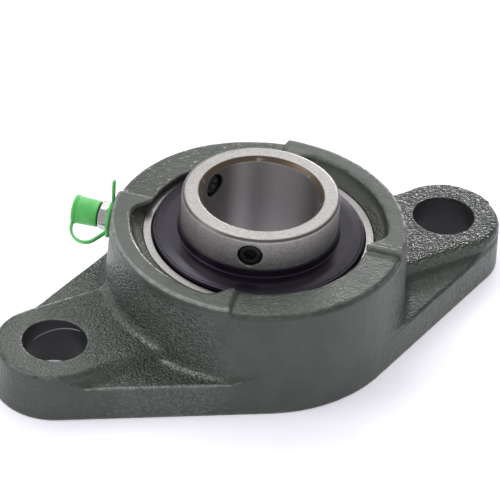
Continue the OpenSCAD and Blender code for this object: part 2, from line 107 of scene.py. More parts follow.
def round_and(a, b, r):
    """What lies in both solids, with the edge between them rounded."""
    return np.minimum(-r, np.maximum(a, b)) + np.hypot(np.maximum(r + a, 0), np.maximum(r + b, 0))


def round_or(a, b, r):
    """What lies in either solid, with a fillet in the corner between them."""
    return np.maximum(r, np.minimum(a, b)) - np.hypot(np.maximum(r - a, 0), np.maximum(r - b, 0))


def flange_outline(x, y):
    """Distance from the oval outline: a large circle with a tangent small one at each end."""
    along, across = np.abs(x), np.abs(y)
    b = (boss_r - end_r) / bolt_x
    a = math.sqrt(1 - b * b)
    k = a * along - b * across
    flat = a * across + b * along - boss_r
    ends = np.where(k < 0, np.hypot(x, y) - boss_r, np.hypot(along - bolt_x, across) - end_r)
    return np.where((k < 0) | (k > a * bolt_x), ends, flat)


def drafted(outline, z):
    return (outline + z * math.tan(draft)) * math.cos(draft)


def rim_land(x, y):
    """1 on the raised parts of the rim beside the bolt line, 0 in the two recesses."""
    past = np.abs(y) * math.sin(recess_half) - np.abs(x) * math.cos(recess_half)
    return np.clip(0.5 - past, 0, 1)


def on_axis(x, y, z, angle, height):
    """Distance along a level axis through the shaft axis, and the two distances across it."""
    along = x * math.cos(angle) + y * math.sin(angle)
    across = y * math.cos(angle) - x * math.sin(angle)
    return along, across, z - height


def casting(x, y, z):
    r = np.hypot(x, y)
    wall = drafted(flange_outline(x, y), z)
    slab = round_and(wall, z - ledge_z, ledge_edge_r)
    pad_wall = np.hypot(np.maximum(np.abs(x) - bolt_x, 0), y) - end_r
    pad_edge = np.interp(np.abs(x), (bolt_x - 4, bolt_x + 8), (pad_edge_r, pad_tip_edge_r))
    pad_edge = pad_edge + right_pad_more_r * ((x > 0) & (y < 0))
    pad = round_and(drafted(pad_wall, z), z - pad_z, pad_edge)
    land = rim_land(x, y)
    recess = recess_z + front_lift * (y < 0)
    top = recess + (rim_z - recess) * land
    top_edge = recess_edge_r + (land_edge_r - recess_edge_r) * land
    boss = round_and(drafted(r - boss_r, z), z - top, top_edge)
    body = round_or(round_or(slab, pad, root_fillet_r), boss, root_fillet_r)
    body = np.maximum(body, wall)
    along, across, up = on_axis(x, y, z, nipple_angle, nipple_z)
    spot = np.hypot(across, up)
    nipple_pad = round_and(spot - seat_pad_r, along - nipple_seat, 0.3)
    body = np.where(along > nipple_side, round_or(body, nipple_pad, 0.8), body)
    pocket_wall = r - pocket_r - (z - pocket_z) * pocket_lean
    pocket_ends = np.abs(y) - pocket_half_w - (z - pocket_low_z) * pocket_lean
    pocket_floor = pocket_low_z + floor_slope * np.maximum(r - pocket_low_r, 0) - z
    pocket_sides = round_and(pocket_wall, pocket_ends, pocket_corner_r)
    pocket = round_and(pocket_sides, floor_cosine * pocket_floor, pocket_foot_r)
    return round_and(body, -np.maximum(pocket, pocket_inside_r - r), pocket_edge_r)


def housing_solid(x, y, z):
    body = casting(x, y, z)
    seat = np.sqrt(x * x + y * y + (z - seat_z) ** 2) - seat_r
    body = round_and(body, -seat, seat_edge_r)
    r = np.hypot(x, y)
    back = np.maximum(r - back_open_r - np.clip(1 - z, 0, 1), z - seat_z / 2)
    body = np.maximum(body, -back)
    holes = np.hypot(np.abs(x) - bolt_x, y) - bolt_hole_r
    body = round_and(body, -holes, hole_edge_r)
    along, across, up = on_axis(x, y, z, nipple_angle, nipple_z)
    tapping = np.maximum(np.hypot(across, up) - tapping_r, tapping_start - along)
    body = np.maximum(body, -tapping)
    return round_and(body, -z, back_edge_r)


def skin(solid, low, high, cell):
    """Points and quads of a solid's surface: a point in each cell of a grid that the surface
    crosses, pulled onto the surface, and a quad across each grid line that it crosses."""
    lines = [np.arange(a - 1.5 * cell, b + 1.6 * cell, cell) for a, b in zip(low, high)]
    field = solid(*np.meshgrid(*lines, indexing="ij", sparse=True))
    inside = field < 0
    nx, ny, nz = (n - 1 for n in field.shape)
    corners = [(i, j, k) for i in (0, 1) for j in (0, 1) for k in (0, 1)]
    count = sum(inside[i:i + nx, j:j + ny, k:k + nz].astype(np.int8) for i, j, k in corners)
    cells = np.argwhere((count > 0) & (count < 8))
    number = np.full((nx, ny, nz), -1)
    number[tuple(cells.T)] = np.arange(len(cells))
    total, hits = np.zeros((len(cells), 3)), np.zeros(len(cells))
    quads = []
    for axis in range(3):
        step = np.eye(3, dtype=int)
        ahead, u, v = step[axis], step[(axis + 1) % 3], step[(axis + 2) % 3]
        for corner in (0 * u, u, v, u + v):
            near = cells + corner
            a, b = field[tuple(near.T)], field[tuple((near + ahead).T)]
            crossed = (a < 0) != (b < 0)
            t = np.where(crossed, a / np.where(crossed, a - b, 1), 0)
            total += crossed[:, None] * (near + t[:, None] * ahead)
            hits += crossed
        low_end = np.moveaxis(inside, axis, 0)[:-1]
        changes = np.moveaxis(low_end != np.moveaxis(inside, axis, 0)[1:], 0, axis)
        edges = np.argwhere(changes)
        last = np.array(field.shape) - 2
        edges = edges[((edges >= u + v) & (edges <= np.where(ahead, edges, last))).all(1)]
        ring = [number[tuple((edges - c).T)] for c in (u + v, v, 0 * u, u)]
        quad = np.stack(ring, 1)
        outward = inside[tuple(edges.T)]
        quads.append(np.where(outward[:, None], quad, quad[:, ::-1]))
    points = np.array([line[0] for line in lines]) + total / hits[:, None] * cell
    start = points.copy()
    for _ in range(4):
        slope = surface_slope(solid, points)
        points -= solid(*points.T)[:, None] * slope / np.maximum((slope ** 2).sum(1), 0.2)[:, None]
        points = start + np.clip(points - start, -0.7 * cell, 0.7 * cell)
    return points, np.concatenate(quads)


def surface_slope(solid, points, reach=0.02):
    """The direction in which a solid's distance grows at each point."""
    steps = reach * np.eye(3)
    rises = [solid(*(points + s).T) - solid(*(points - s).T) for s in steps]
    return np.stack(rises, 1) / (2 * reach)


def lattice_noise(points, size, seed):
    """Smooth noise from -1 to 1 with bumps of about the given size."""
    period = 32
    table = np.random.default_rng(seed).uniform(-1, 1, (period, period, period))
    place = points / size
    cell = np.floor(place).astype(int)
    f = place - cell
    f = f * f * (3 - 2 * f)
    height = np.zeros(len(points))
    for i in (0, 1):
        for j in (0, 1):
            for k in (0, 1):
                weight = np.abs(1 - i - f[:, 0]) * np.abs(1 - j - f[:, 1]) * np.abs(1 - k - f[:, 2])
                height += weight * table[tuple(((cell + (i, j, k)) % period).T)]
    return height


class Field:
    """A socket of a finish's nodes. Arithmetic on it adds Math nodes."""

    def __init__(self, tree, socket):
        self.tree, self.socket = tree, socket

    def node(self, kind, settings=(), sockets=(), out=0):
        made = self.tree.nodes.new("ShaderNode" + kind)
        for name, value in dict(settings).items():
            setattr(made, name, value)
        for name, value in dict(sockets).items():
            if isinstance(value, Field):
                self.tree.links.new(value.socket, made.inputs[name])
            else:
                made.inputs[name].default_value = value
        return Field(self.tree, made.outputs[out])

    def math(self, operation, *values):
        return self.node("Math", {"operation": operation}, dict(enumerate(values)))

    def vector(self, operation, *values, out=0):
        return self.node("VectorMath", {"operation": operation}, dict(enumerate(values)), out)

    def __add__(self, other):
        return self.math("ADD", self, other)

    def __sub__(self, other):
        return self.math("SUBTRACT", self, other)

    def __rsub__(self, other):
        return self.math("SUBTRACT", other, self)

    def __mul__(self, other):
        return self.math("MULTIPLY", self, other)

    def __neg__(self):
        return 0 - self

    def __abs__(self):
        return self.math("ABSOLUTE", self)

    __radd__, __rmul__ = __add__, __mul__

    def root(self):
        return self.math("SQRT", self)

    def most(self, other):
        return self.math("MAXIMUM", self, other)

    def rise(self, low, high):
        """0 below low, 1 above high, and a smooth rise between them."""
        ends = {"Value": self, "From Min": low, "From Max": high}
        return self.node("MapRange", {"interpolation_type": "SMOOTHSTEP"}, ends)

    def blend(self, first, second):
        """The first colour where this is 0 and the second where it is 1."""
        sockets = {0: self, 6: first, 7: second}
        return self.node("Mix", {"data_type": "RGBA"}, sockets, 2)

    def noise(self, size, detail=2.0, roughness=0.5):
        """Noise over this position with features of the given size in millimetres."""
        sockets = {"Vector": self, "Scale": 1 / (size * MM)}
        sockets |= {"Detail": detail, "Roughness": roughness}
        return self.node("TexNoise", {}, sockets)

    def cells(self, size):
        """Distance from the middles of rounded cells of the given size in millimetres."""
        sockets = {"Vector": self, "Scale": 1 / (size * MM), "Smoothness": 0.5}
        return self.node("TexVoronoi", {"feature": "SMOOTH_F1"}, sockets)

    def attribute(self, name):
        return self.node("Attribute", {"attribute_name": name}, {}, 2)

    def parts(self):
        split = self.node("SeparateXYZ", {}, {0: self})
        return [Field(self.tree, s) for s in split.socket.node.outputs]


def new_finish(name, **sockets):
    """A material with uniform values on its shader, and the position on the piece."""
    finish = bpy.data.materials.new(name)
    finish.use_nodes = True
    tree = finish.node_tree
    for key, value in sockets.items():
        tree.nodes["Principled BSDF"].inputs[key.replace("_", " ")].default_value = value
    return finish, Field(tree, tree.nodes.new("ShaderNodeTexCoord").outputs["Object"])


def feed(finish, **fields):
    """Links what changes over the surface to the finish's shader."""
    shader = finish.node_tree.nodes["Principled BSDF"]
    for key, field in fields.items():
        finish.node_tree.links.new(field.socket, shader.inputs[key.replace("_", " ")])


def bump(height, depth):
    """A surface with the given height field, where a rise of 1 is depth millimetres."""
    return height.node("Bump", {}, {"Height": height, "Strength": 1.0, "Distance": depth * MM})


def add_piece(name, points, faces, finish, slot, *nodes):
    """A smooth mesh with the given finish that stands for CAD nodes, which it hides."""
    mesh = bpy.data.meshes.new(name)
    mesh.from_pydata((points * MM).tolist(), [], [[int(i) for i in face] for face in faces])
    mesh.polygons.foreach_set("use_smooth", [True] * len(mesh.polygons))
    mesh.materials.append(finish)
    piece = bpy.data.objects.new(name, mesh)
    bpy.context.scene.collection.objects.link(piece)
    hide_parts(*nodes)
    return piece


housing_cell, skin_reach, skin_start_z, edge_reach = 0.5, 0.25, 0.5, 0.8
pebble_height, swell_height = 0.06, 0.09
housing_points, housing_quads = skin(housing_solid, (-74, -39.5, 0), (74, 39.5, 31), housing_cell)
outward = surface_slope(housing_solid, housing_points)
outward /= np.linalg.norm(outward, axis=1)[:, None]
cast_skin = np.abs(casting(*housing_points.T)) < skin_reach
cast_skin &= housing_points[:, 2] > skin_start_z
ring_of_steps = edge_reach * np.concatenate([np.eye(3), -np.eye(3)])
edges = sum(housing_solid(*(housing_points + step).T) for step in ring_of_steps) / edge_reach
coarse = np.interp(housing_points[:, 0], (-60, -45, -30, 20, 40), (0.6, 1.2, 0.6, 0.5, 0.8))
coarse += 0.8 * (housing_points[:, 0] > 38) * (housing_points[:, 2] > 12.8)
pebbles = lattice_noise(housing_points, 1.4, 1) + 0.5 * lattice_noise(housing_points, 0.9, 2)
swell = lattice_noise(housing_points, 8, 3)
unevenness = cast_skin * (pebble_height * coarse * pebbles + swell_height * swell)
housing_points += outward * unevenness[:, None]

paint, at = new_finish("housing_paint", Specular_IOR_Level=0.65)
x, y, z = (part * 1000 for part in at.parts())
radius = (x * x + y * y).root()


def band(field, middle, half):
    """1 within half of the middle value, falling to 0 outside it."""
    return 1 - abs(field - middle).rise(0.4 * half, half)


# Parts of the casting: each is 1 on its own part and 0 elsewhere.
land = z.rise(30.3, 30.8)
ledge = 1 - abs(z - 9.9).rise(0.8, 1.4)
right_pad = x.rise(33, 42) * z.rise(12.4, 13.1) * (1 - z.rise(15, 17))
right_wall = x.rise(10, 30) * (-y).rise(2, 8) * (1 - z.rise(28.5, 29.5)) * (1 - right_pad)
right_wall = right_wall * (1 - ledge)
right_ledge = x.rise(22, 34) * (-y).rise(2, 6) * ledge
right_rim = x.rise(20, 27) * land
left_root = (-x).rise(20, 33) * (1 - 0.75 * (-x).rise(46, 60)) * (1 - z.rise(26, 30))
left_side = (-x).rise(29, 33) * y.rise(0, 6) * z.rise(15, 18) * (1 - z.rise(27, 29))
left_rim = (-x).rise(16, 24) * z.rise(29.2, 30)
back_ledge = (-x).rise(30, 34) * y.rise(8, 12) * (1 - z.rise(12, 13))
back_recess = y.rise(14, 24) * z.rise(28.4, 29.1) * (1 - land)
front_recess = (-y).rise(14, 24) * z.rise(29.5, 29.9) * (1 - z.rise(30.5, 30.8))
in_pocket = z.rise(26.5, 27) * (1 - z.rise(29.8, 30.4))
left_pocket = in_pocket * (1 - radius.rise(32.6, 33.2)) * (-x).rise(20, 24)
right_pocket = in_pocket * (1 - radius.rise(33.2, 33.8)) * x.rise(20, 24)

# Grain: pebbles that the sand left, coarse on the right, and flakes in the rim's recesses.
blotch, fine = at.noise(8, 3), at.noise(0.4, 2)
coarse_pebble = 1 - at.vector("MULTIPLY", at, (0.8, 1.3, 1)).cells(0.8)
fine_pebble = 1 - at.cells(0.6)
flaky = at.vector("MULTIPLY", at, (0.55, 1.2, 1)).noise(1.1, 4, 0.6)
rough = (0.14 + left_root.most(0.75 * right_wall)) * (1 - 0.7 * land) * (1 - back_recess)
coarse_share = 1.2 * right_pad + 0.8 * right_wall + 0.7 * right_ledge + 0.9 * left_side
pebble = coarse_share * coarse_pebble + rough * fine_pebble
pebble = pebble + (2.0 * back_recess + 0.7 * front_recess) * flaky

# Paint: grey green and lighter on rubbed edges, with a painted highlight on the grain's tops,
# painted glints on the left root and the right wall, and painted shade on the right ledge and pad
# and in the pockets.
paint_dark, paint_light = (0.019, 0.028, 0.019, 1), (0.030, 0.040, 0.029, 1)
grain_highlight, glint_speck_grey = (0.060, 0.070, 0.058, 1), (0.13, 0.14, 0.13, 1)
right_shade, pocket_shade = (0.010, 0.015, 0.010, 1), (0.010, 0.011, 0.006, 1)
rubbed_grey, bare_and_lit_grey = (0.22, 0.23, 0.22, 1), (0.55, 0.56, 0.53, 1)
paint_colour = blotch.rise(0.35, 0.65).blend(paint_dark, paint_light)
# Painted highlight: the tops of the grain's bumps are made lighter.
paint_colour = (pebble.rise(0.3, 0.8) * rough).blend(paint_colour, grain_highlight)
# Painted glints: light specks on the left root and on the right wall of the boss.
root_glints = at.noise(1.0, 3, 0.6).rise(0.54, 0.64) * left_root * (1 - land)
wall_glints = at.noise(0.8, 3, 0.6).rise(0.5, 0.62) * right_wall * x.rise(24, 36)
paint_colour = (0.5 * root_glints.most(wall_glints)).blend(paint_colour, glint_speck_grey)
# Painted shade: the right ledge and the right pad are darkened.
paint_colour = (0.6 * right_ledge.most(right_pad)).blend(paint_colour, right_shade)
edge = at.attribute("edge")
rubbed = edge.rise(0.35, 0.9) * at.noise(2.5, 3).rise(0.35, 0.6)
rub_share = 0.35 * (1 - right_ledge) * (1 - 0.7 * left_rim)
paint_colour = (rub_share * rubbed).blend(paint_colour, rubbed_grey)
# Painted shade: the pockets are darkened, the left one more than the right.
pocket_shade_share = 0.7 * left_pocket.most(0.7 * right_pocket)
paint_colour = pocket_shade_share.blend(paint_colour, pocket_shade)

# Chips where the paint is worn through, along the left step, the left pocket's edge and the left
# pad's back edge,
# together with painted highlights: two lines along the right step, lines on the front rim, the
# front ledge and the right rim, and glints along the boss's foot and in the rim's recesses.
sharp_edge, fleck = edge.rise(0.3, 0.6), at.noise(1.6, 2)
left_step, right_step = math.radians(132), math.radians(314)
left_line = x * math.sin(left_step) - y * math.cos(left_step)
right_line = y * math.cos(right_step) - x * math.sin(right_step)
on_left = band(left_line, -0.4, 0.4) * radius.rise(29.5, 30.5) * y.rise(18, 20) * (-x).rise(15, 17)
# Painted highlights: two light lines along the edges of the right step.
right_step_highlights = band(right_line, 0.4, 0.25) + band(right_line, 1.6, 0.25)
right_step_highlights = right_step_highlights * x.rise(19, 21) * (-y).rise(16, 18)
pocket_edge = pocket_r + (rim_z - pocket_z) * pocket_lean
on_pocket = band(radius, pocket_edge + 0.35, 0.24) * at.noise(0.8, 2).rise(0.40, 0.56)
on_pocket = on_pocket * (-x).rise(27, 28) * (1 - y.rise(12, 16)) * y.rise(-13, -9)
on_pad = edge.rise(0.25, 0.5) * y.rise(11, 12.5) * (-x).rise(40, 44) * (1 - (-x).rise(60, 64))
on_pad = on_pad * (1 - z.rise(14, 15)) * z.rise(11.8, 12.4)
# Painted highlights: light lines along the front rim's outer edge, the front ledge's edge and the
# right rim's outer edge.
front_rim_highlight = sharp_edge * (-x).rise(19, 23) * radius.rise(36, 36.6) * z.rise(30.3, 30.7)
ledge_edge_highlight = sharp_edge * (-y).rise(12, 14) * (-x).rise(12, 16) * band(z, 9.45, 0.25)
right_rim_highlight = sharp_edge * x.rise(31, 33) * radius.rise(36.3, 36.9) * z.rise(29.5, 30)
# Painted glints: light specks along the boss's foot above the left pad and the front ledge.
pad_foot_glints = band(radius, 40.2, 0.8) * band(z, 13.6, 0.6) * (-x).rise(33, 36)
pad_foot_glints = pad_foot_glints * (0.25 + 0.75 * (-y).rise(0, 11))
ledge_foot_glints = band(radius, 39.9, 0.9) * band(z, 10.4, 0.6) * (-x).rise(24, 32) * (-y).rise(12, 15)
chips_and_highlights = (on_left + on_pocket + 0.4 * right_step_highlights) * z.rise(29.1, 29.7) + on_pad + 0.4 * right_rim_highlight
chips_and_highlights = chips_and_highlights * fleck.rise(0.40, 0.52) + (0.6 * front_rim_highlight + 0.45 * ledge_edge_highlight) * fleck
chips_and_highlights = chips_and_highlights + 0.48 * (pad_foot_glints + ledge_foot_glints) * at.noise(0.6, 3, 0.6).rise(0.38, 0.62)
# Painted glints: light flakes in the rim's recesses.
recess_glints = flaky.rise(0.60, 0.70) * back_recess.most(0.12 * front_recess)
paint_colour = chips_and_highlights.most(recess_glints).blend(paint_colour, bare_and_lit_grey)

# Bolt holes, back and seat: the bolt holes are painted near black inside as their shade, with a
# spiral tool mark in the left one, and the back and the seat are bare machined iron.
hole_shade, mark_grey = (0.021, 0.021, 0.026, 1), (0.6, 0.6, 0.6, 1)
iron_grey = (0.30, 0.29, 0.28, 1)
hole_x = abs(x) - bolt_x
hole_r = (hole_x * hole_x + y * y).root()
in_hole = 1 - hole_r.rise(bolt_hole_r + 0.05, bolt_hole_r + 0.3)
hole_angle = y.math("ARCTAN2", y, x + bolt_x)
tool_mark = band(z + 2.35 * hole_angle, 12.8, 0.22) * in_hole * (-x).rise(0, 1)
tool_mark = tool_mark * hole_angle.rise(0.1, 0.3) * (1 - hole_angle.rise(1.7, 1.9))
# Painted shade: the inside of each bolt hole is made near black.
paint_colour = in_hole.blend(paint_colour, hole_shade)
paint_colour = (0.7 * tool_mark).blend(paint_colour, mark_grey)
machined = (1 - z.rise(0.02, 0.2)).most(1 - radius.rise(27.6, 27.9))
paint_colour = machined.blend(paint_colour, iron_grey)
turning = radius.node("CombineXYZ", {}, {0: radius * MM, 1: z * MM}).noise(0.3)
grain = (pebble * 0.6 + fine * 0.2) * (1 - machined) * (1 - in_hole)
dull = right_ledge.most(left_pocket).most(0.7 * back_ledge.most(right_pocket).most(right_rim))
feed(
    paint,
    Base_Color=paint_colour,
    Metallic=machined,
    Roughness=0.25 + 0.16 * blotch + 0.1 * in_hole + 0.2 * dull - 0.04 * right_pad,
    Normal=bump(grain + 0.12 * turning * machined.most(in_hole), 0.5),
)
housing = add_piece(
    "housing_casting", housing_points, housing_quads, paint, "housing_paint", "housing"
)
housing.data.attributes.new("edge", "FLOAT", "POINT").data.foreach_set("value", edges)
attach(housing, "housing_body")

# Inner and outer ring: bearing steel, turned, hardened and ground. The faces are even, the outside
# is satin with fine lines round it, and heat has browned the bore's edge. Light and shade are
# painted too: a darker steel on the faces and a lighter one on the outside, a dark line on the
# top's outer chamfer, bright streaks of reflection in the bore and shade in the screws' tapped
# holes.
ring_steel, at = new_finish("ring_steel", Metallic=1.0)
x, y, z = (part * 1000 for part in at.parts())
radius = (x * x + y * y).root()
grind = radius.node("CombineXYZ", {}, {0: radius * MM, 1: z * MM}).noise(0.25, 3, 0.6)
mottle = at.noise(0.7, 3, 0.65)
# Painted light and shade: the faces get a darker steel and the outside a lighter one, setting how
# bright each looks.
face_dark, face_light = (0.25, 0.24, 0.235, 1), (0.325, 0.316, 0.311, 1)
side_dark, side_light = (0.48, 0.46, 0.45, 1), (0.64, 0.62, 0.61, 1)
bore_shade, bore_reflection = (0.20, 0.19, 0.19, 1), (0.72, 0.70, 0.705, 1)
chamfer_shade, tapping_shade = (0.10, 0.092, 0.088, 1), (0.02, 0.02, 0.02, 1)
heat_brown = (0.13, 0.10, 0.075, 1)
mottled = mottle.rise(0.3, 0.7)
inner_side = (1 - radius.rise(20.4, 20.8)) * (1 - z.rise(39.5, 39.9))
steel_colour = mottled.blend(face_dark, face_light)
steel_colour = inner_side.blend(steel_colour, mottled.blend(side_dark, side_light))
# Painted shade: a dark line on the chamfer at the top's outer edge.
chamfer_shade_line = band(radius, 19.9, 0.4) * z.rise(39.3, 39.6) * (1 - z.rise(40.0, 40.15))
steel_colour = (0.8 * chamfer_shade_line).blend(steel_colour, chamfer_shade)
bore_edge = (1 - radius.rise(16.0, 16.3)) * z.rise(38.9, 39.2)
steel_colour = (bore_edge * at.noise(3).rise(0.1, 0.45)).blend(steel_colour, heat_brown)
# Painted reflections: a narrow and a broad bright streak round the bore, with painted shade between
# them.
in_bore = (1 - radius.rise(15.2, 15.4)) * (1 - z.rise(38.9, 39.2))
bore_angle = y.math("ARCTAN2", y, x)
off_narrow_streak = abs(bore_angle - 1.35).rise(0, 0.35)
off_broad_streak = abs(bore_angle - 0.55).rise(0.1, 0.75)
bright = (1 - off_narrow_streak) + (1 - off_broad_streak)
bore_colour = (0.7 * bright + 0.4 * mottle).blend(bore_shade, bore_reflection)
steel_colour = in_bore.blend(steel_colour, bore_colour)
screw_angles, screw_z, screw_hole_r = (math.radians(232), math.radians(112)), 35.2, 3.0
# Painted shade: the tapped holes round the set screws are made near black.
for angle in screw_angles:
    along = x * math.cos(angle) + y * math.sin(angle)
    across, up = y * math.cos(angle) - x * math.sin(angle), z - screw_z
    from_screw = (across * across + up * up).root()
    past_edge = from_screw.rise(screw_hole_r + 0.12, screw_hole_r + 0.32)
    in_tapping = (1 - past_edge) * along.rise(0, 1)
    steel_colour = (0.9 * in_tapping).blend(steel_colour, tapping_shade)
feed(
    ring_steel,
    Base_Color=steel_colour,
    Roughness=0.26 + 0.12 * grind + 0.12 * mottle + 0.10 * in_bore + 0.08 * inner_side,
    Normal=bump(grind * 0.6 + mottle * 0.4, 0.012),
)


def dress(name, finish, edge=0.0):
    """Gives a CAD node its finish and, where edge is given, softens its sharp edges."""
    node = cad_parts[name]
    node.data.materials.clear()
    node.data.materials.append(finish)
    if edge:
        weld = node.modifiers.new("weld", "WELD")
        weld.merge_threshold = 0.002 * MM
        bevel = node.modifiers.new("soft_edges", "BEVEL")
        bevel.width, bevel.segments, bevel.angle_limit = edge * MM, 2, math.radians(25)
        node.modifiers.new("even_shading", "WEIGHTED_NORMAL")


inner_bore_r, inner_r, inner_half, inner_middle, inner_cell = 15, 20.15, 19.05, 21.15, 0.3
race_r, race_at, outer_bevel, bore_bevel = 4.953, 23.16, 0.6, 1.1


def inner_ring_solid(x, y, z):
    r = np.hypot(x, y)
    end = np.abs(z - inner_middle) - inner_half
    body = round_and(r - inner_r, end, 0.1)
    body = round_and(body, (r - inner_r + end + outer_bevel) * math.sqrt(0.5), 0.2)
    body = round_and(body, inner_bore_r - r, 0.1)
    body = round_and(body, (inner_bore_r - r + end + bore_bevel) * math.sqrt(0.5), 0.1)
    body = round_and(body, race_r - np.hypot(r - race_at, z - seat_z), 0.15)
    for angle in screw_angles:
        along, across, up = on_axis(x, y, z, angle, screw_z)
        hole = np.maximum(np.hypot(across, up) - screw_hole_r, -along)
        body = round_and(body, -hole, 0.06)
    return body


inner_low, inner_high = (-20.2, -20.2, 2.1), (20.2, 20.2, 40.2)
inner_points, inner_quads = skin(inner_ring_solid, inner_low, inner_high, inner_cell)
inner_ring = add_piece(
    "inner_ring_steel", inner_points, inner_quads, ring_steel, "ring_steel", "inner_ring"
)
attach(inner_ring, "inner_body")
dress("outer_ring", ring_steel, 0.15)

# Balls, cage and seals: nine polished balls in a cage of two pressed halves held by rivets,
# closed in by a rubber lip seal on each side. They only show when the insert is taken apart.
ball_steel, at = new_finish("ball_steel", Metallic=1.0)
swirl = at.noise(2.5, 3)
feed(
    ball_steel,
    Base_Color=swirl.blend((0.70, 0.70, 0.72, 1), (0.78, 0.78, 0.79, 1)),
    Roughness=0.05 + 0.05 * swirl,
)
for i in range(1, 10):
    dress(f"ball_{i}", ball_steel)
cage_steel, at = new_finish("cage_steel", Metallic=1.0)
roll_marks = at.noise(0.6, 3)
feed(
    cage_steel,
    Base_Color=roll_marks.blend((0.40, 0.38, 0.33, 1), (0.52, 0.50, 0.45, 1)),
    Roughness=0.28 + 0.15 * roll_marks,
    Normal=bump(roll_marks, 0.01),
)
for name in ("cage_front", "cage_back", "cage_rivets"):
    dress(name, cage_steel)
seal_rubber, at = new_finish("seal_rubber", Specular_IOR_Level=0.3)
bloom = at.noise(1.5, 4)
feed(
    seal_rubber,
    Base_Color=bloom.blend((0.012, 0.012, 0.013, 1), (0.024, 0.024, 0.025, 1)),
    Roughness=0.55 + 0.2 * bloom,
    Normal=bump(at.noise(0.3), 0.02),
)
for name in ("seal_front", "seal_back"):
    dress(name, seal_rubber, 0.12)

# Flingers: thin steel sheet pressed to a disc with a collar on the inner ring and a rim that
# is rolled down over the seal, coated satin black.
flinger_profile = [
    # radius, height and rounding of each corner, round the section of the sheet
    (20.17, 28.5, 0), (20.17, 31.2, 0.2), (20.67, 31.2, 0.2), (20.67, 29.0, 0.4),
    (24.2, 29.0, 8), (26.4, 28.7, 0.1), (26.52, 28.57, 0.05), (26.64, 28.66, 0.1),
    (27.2, 28.55, 0.25), (27.2, 27.2, 0.15), (26.7, 27.2, 0.15), (26.7, 28.15, 0.2),
    (24.2, 28.5, 7.5),
]


def rounded(corners, steps=8):
    """The corners of a closed outline, each replaced by an arc of its rounding."""
    outline = []
    for i, (*corner, r) in enumerate(corners):
        here = np.array(corner)
        before = np.array(corners[i - 1][:2]) - here
        after = np.array(corners[(i + 1) % len(corners)][:2]) - here
        before, after = before / np.linalg.norm(before), after / np.linalg.norm(after)
        half = math.acos(np.clip(before @ after, -1, 1)) / 2
        if not r:
            outline.append(here)
            continue
        middle = here + (before + after) / np.linalg.norm(before + after) * r / math.sin(half)
        first, last = here + before * r / math.tan(half), here + after * r / math.tan(half)
        for t in np.linspace(0, 1, steps):
            spoke = (1 - t) * (first - middle) + t * (last - middle)
            outline.append(middle + spoke / np.linalg.norm(spoke) * r)
    return np.array(outline)


def turned(outline, steps=180):
    """Points and quads of a closed outline of radius and height, turned round the Z axis."""
    angles = np.linspace(0, 2 * math.pi, steps, endpoint=False)
    r, height = outline.T
    rings = [np.stack([r * math.cos(a), r * math.sin(a), height], 1) for a in angles]
    n = len(outline)
    i, j = np.meshgrid(np.arange(steps), np.arange(n), indexing="ij")
    after, up = (i + 1) % steps, (j + 1) % n
    quads = np.stack([i * n + j, i * n + up, after * n + up, after * n + j], -1).reshape(-1, 4)
    return np.concatenate(rings), quads


violet_sheen = (0.88, 0.82, 1, 1)
flinger_black, at = new_finish(
    "flinger_black", Specular_IOR_Level=0.28, Specular_Tint=violet_sheen
)
x, y, z = (part * 1000 for part in at.parts())
radius = (x * x + y * y).root()
sheen = radius.node("CombineXYZ", {}, {0: radius * MM, 1: z * MM}).noise(0.5, 2)
haze = at.noise(4, 3)
feed(
    flinger_black,
    Base_Color=haze.blend((0.007, 0.005, 0.010, 1), (0.012, 0.009, 0.016, 1)),
    Roughness=0.17 + 0.08 * haze,
    Normal=bump(sheen, 0.006),
)
for name, flip in (("flinger_front", False), ("flinger_back", True)):
    section = rounded(flinger_profile)
    if flip:
        section[:, 1] = 2 * seat_z - section[:, 1]
        section = section[::-1]
    flinger = add_piece(name + "_disc", *turned(section), flinger_black, "flinger_black", name)
    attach(flinger, "inner_body")

# Set screws: two hardened grub screws, blackened, with a hexagon socket at the outside and a
# cup point that bites into the shaft. Each sits in a tapped hole of the inner ring.
screw_tip, screw_head, screw_r, thread_pitch, thread_depth = 15.15, 19.9, 2.95, 1.0, 0.45
tip_chamfer, head_chamfer, cup_r, cup_lean = 0.9, 0.45, 1.5, 0.8
socket_half, socket_depth, screw_cell = 1.5, 2.4, 0.11


def hexagon(a, b, half):
    """Distance from a hexagon with the given half width across its flats."""
    turns = [math.radians(60 * i) for i in range(3)]
    return np.max([np.abs(a * math.cos(t) + b * math.sin(t)) - half for t in turns], axis=0)


def screw_solid(a, b, along):
    r = np.hypot(a, b)
    helix = along / thread_pitch - np.arctan2(b, a) / (2 * math.pi)
    flank = np.abs(2 * (helix % 1) - 1)
    ends = np.maximum(screw_tip + tip_chamfer - along, along - screw_head + head_chamfer)
    body = r - screw_r + thread_depth * np.clip(1.3 * flank - 0.15, 0, 1)
    body = round_and(body, r - screw_r + np.maximum(ends, 0), 0.05)
    middle, half = (screw_tip + screw_head) / 2, (screw_head - screw_tip) / 2
    body = round_and(body, np.abs(along - middle) - half, 0.1)
    socket = np.maximum(hexagon(a, b, socket_half), screw_head - socket_depth - along)
    body = round_and(body, -socket, 0.08)
    cup = (along - screw_tip) + (r - cup_r) * cup_lean
    return round_and(body, -np.maximum(cup, screw_tip - 1 - along), 0.08)


screw_black, at = new_finish("screw_black", Metallic=0.6)
oxide = at.noise(0.8, 3)
feed(
    screw_black,
    Base_Color=oxide.blend((0.016, 0.016, 0.016, 1), (0.045, 0.044, 0.043, 1)),
    Roughness=0.22 + 0.2 * oxide,
    Normal=bump(at.noise(0.2), 0.006),
)
screw_points, screw_quads = skin(screw_solid, (-3, -3, 15.1), (3, 3, 19.95), screw_cell)


